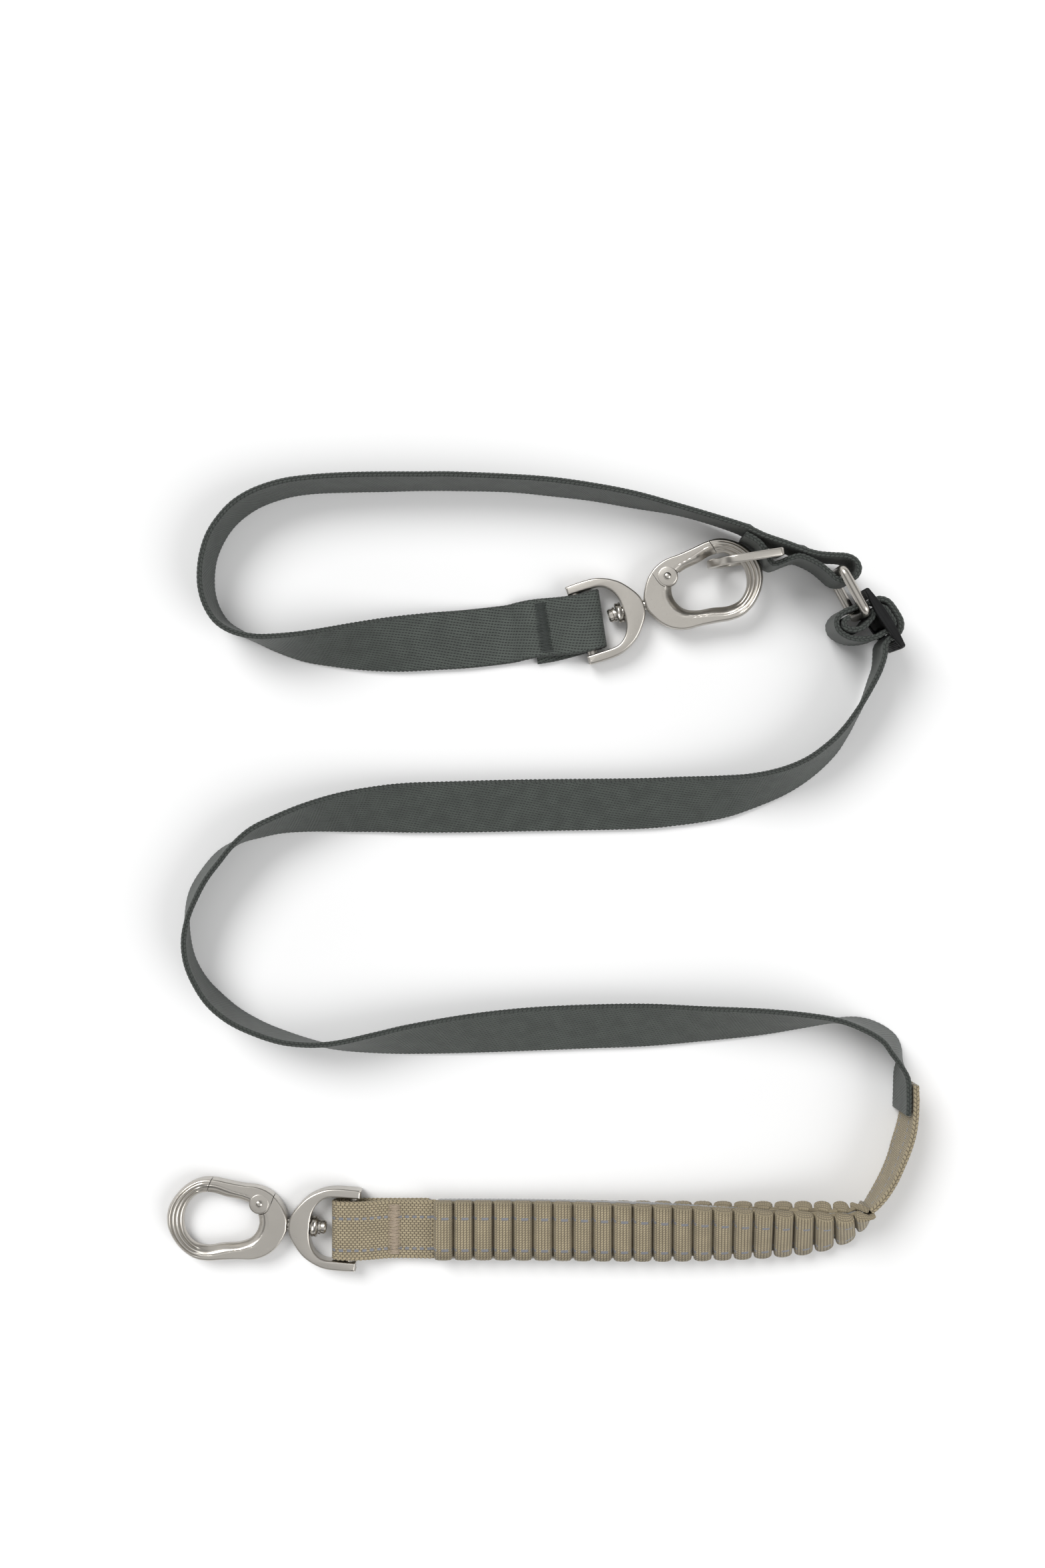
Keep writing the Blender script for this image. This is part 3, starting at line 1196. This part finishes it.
def studio():
    camera_data = bpy.data.cameras.new("camera")
    camera_data.sensor_fit = "VERTICAL"
    camera_data.sensor_height = SENSOR
    camera_data.lens = LENS
    camera_data.clip_end = 200.0
    camera = linked("camera", camera_data)
    camera.location = Vector(EYE) * MM
    bpy.context.scene.camera = camera
    bpy.context.scene.view_settings.view_transform = "Standard"

    mesh = bpy.data.meshes.new("floor")
    signs = ((-1, -1), (1, -1), (1, 1), (-1, 1))
    corners = [(x * FLOOR_REACH, y * FLOOR_REACH, -FLOOR_DROP) for x, y in signs]
    mesh.from_pydata(corners, [], [(0, 1, 2, 3)])
    floor = add_piece("floor", mesh, floor_finish())
    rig.stage(floor)

    # The sky is bright overhead and at the horizon, with a darker belt between that the metal mirrors
    world = bpy.data.worlds.new("world")
    world.use_nodes = True
    tree = world.node_tree
    where = tree.nodes.new("ShaderNodeTexCoord")
    split = tree.nodes.new("ShaderNodeSeparateXYZ")
    ramp = tree.nodes.new("ShaderNodeValToRGB")
    tree.links.new(where.outputs["Generated"], split.inputs[0])
    tree.links.new(split.outputs["Z"], ramp.inputs["Fac"])
    tree.links.new(ramp.outputs["Color"], tree.nodes["Background"].inputs["Color"])
    ramp.color_ramp.interpolation = "EASE"
    for k, (height, bright) in enumerate(SKY):
        stop = ramp.color_ramp.elements[k] if k < 2 else ramp.color_ramp.elements.new(height)
        stop.position = height
        stop.color = (bright, bright, bright, 1.0)
    tree.nodes["Background"].inputs["Strength"].default_value = 1.0
    bpy.context.scene.world = world
    for name, at, width, strength in LAMPS:
        light = bpy.data.lights.new(name, "SUN")
        light.angle = math.radians(width)
        light.energy = strength
        lamp = linked(name, light)
        lamp.rotation_euler = (-Vector(at)).to_track_quat("-Z", "Y").to_euler()


def main():
    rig.load()
    cad_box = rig.bounds()
    studio()

    metal = nickel("nickel", 0.24)
    fittings = nickel("fittings", 0.20)
    green = green_webbing()
    tan = tan_webbing()
    green_thread = cloth_thread("green_thread", GREEN_STITCH)
    tan_thread = cloth_thread("tan_thread", TAN_STITCH)

    # Webbing
    fold_keys = folded(FOLD_A, HOOK_A_BAR, HOOK_A_HEADING, FOLD_A_SLANT)
    handle_route = HANDLE_ROUTE + [(x, y, 90, STRAND_LIFT) for x, y in RINGS_ROUTE]
    handle = fine(fold_keys + rolled(handle_route, WEB_WIDTH, WEB_THICK))
    mesh = strap_mesh("handle_strap", [flat_run(handle, WEB_WIDTH, WEB_THICK)])
    handle_strap = fitted("handle_strap", mesh, green, "lead", "handle_webbing")

    lead = fine(in_slider(ADJUSTER_ROUTE) + rolled(MAIN_ROUTE, WEB_WIDTH, WEB_THICK))
    mesh = strap_mesh("main_strap", [flat_run(lead, WEB_WIDTH, WEB_THICK)])
    main_strap = fitted("main_strap", mesh, green, "lead", "main_webbing")

    # Bungee: one tan strap that is flat, gathered in pleats, and flat again round the bail's bar
    tail_keys = rolled(TAIL_ROUTE, WEB_WIDTH, TAN_THICK)
    bungee_keys = rolled(BUNGEE_ROUTE, BUNGEE_WIDTH, BUNGEE_HEIGHT)
    end_keys = [(point, -side) for point, side in reversed(folded(FOLD_B, HOOK_B_BAR, 180.0))]
    bungee = fine(tail_keys[:-1] + bungee_keys + end_keys)
    start = nearest(bungee, BUNGEE_KEY_START)
    stop = nearest(bungee, BUNGEE_KEY_END)
    tail = [section for section in bungee if section[0] < start + FLAT_OVERLAP]
    end = [section for section in bungee if section[0] > stop - FLAT_OVERLAP]
    runs = [flat_run(tail, WEB_WIDTH, TAN_THICK), flat_run(end, WEB_WIDTH, END_THICK)]
    runs += [ruffled_run(bungee, start, stop, sign) for sign in (-1, 1)]
    bungee_strap = add_piece("bungee_strap", strap_mesh("bungee_strap", runs), tan)
    crossing = ("lead", "bungee_end", tuple(STRETCH_FROM * MM), tuple(STRETCH_TO * MM))
    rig.blend(bungee_strap, *crossing)
    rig.replaces(bungee_strap, "bungee_tail_webbing", "bungee_sleeve", "bungee_end_webbing")
    inside = [section for section in bungee if start + BAND_FROM < section[0] < stop - BAND_TO]
    band_run = []
    for row in flat_run(inside, BAND_WIDTH, BAND_THICK):
        taper = 1.0 - ease((row[0] - start) / (TAPER_OVER * (stop - start)))
        band_run.append((*row[:4], BAND_WIDTH - BAND_TAPER * taper, *row[5:]))
    band = add_piece("elastic_band", strap_mesh("elastic_band", [band_run]), elastic())
    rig.blend(band, *crossing)
    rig.replaces(band, "elastic_core")

    # Sewn seams
    seams = (
        ("handle_stitch", handle, (4.2, 119.0, 4.0), 2.8, WEB_THICK, green_thread, "lead"),
        ("ring_stitch", handle, (90.0, 158.2, 17.0), 2.0, WEB_THICK, green_thread, "lead"),
        ("link_stitch", handle, (113.0, 149.2, 17.0), 2.0, WEB_THICK, green_thread, "lead"),
        ("bungee_joint_stitch", bungee, (160.9, -83.0, 12.5), 3.4, TAN_THICK, tan_thread, "lead"),
        ("bungee_end_stitch", bungee, (-60.8, -142.0, 3.9), 2.8, END_THICK, tan_thread, "bungee_end"),
    )
    tacks = []
    for number, (name, sections, where, reach, thick, finish, body) in enumerate(seams):
        mesh = bar_tack(f"{name}_visual", sections, nearest(sections, where), reach, thick, number)
        tacks.append(fitted(f"{name}_visual", mesh, finish, body, name))

    for piece, sections, sewn in ((handle_strap, handle, tacks[:3]), (main_strap, lead, []),
                                  (bungee_strap, bungee, [band] + tacks[3:])):
        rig.cord(piece, exit=tuple(sections[0][1] * MM), length=sections[-1][0] * MM, diameter=WEB_WIDTH * MM,
                far_end="object", stiffness="limp", lay="loose", with_pieces=sewn, path=metres(sections))

    # Hardware
    snap_hook("a", HOOK_A_BAR, HOOK_A_HEADING, HOOK_A_RISE, 0.0, metal, fittings)
    snap_hook("b", HOOK_B_BAR, HOOK_B_HEADING, 0.0, 180.0, metal, fittings)
    d_ring(metal)
    link_ring(metal)
    slider(black_plastic())

    with open("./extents.json", "w") as file:
        json.dump({"cad": [list(corner) for corner in cad_box],
                   "visual": [list(corner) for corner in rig.bounds()]}, file)


main()
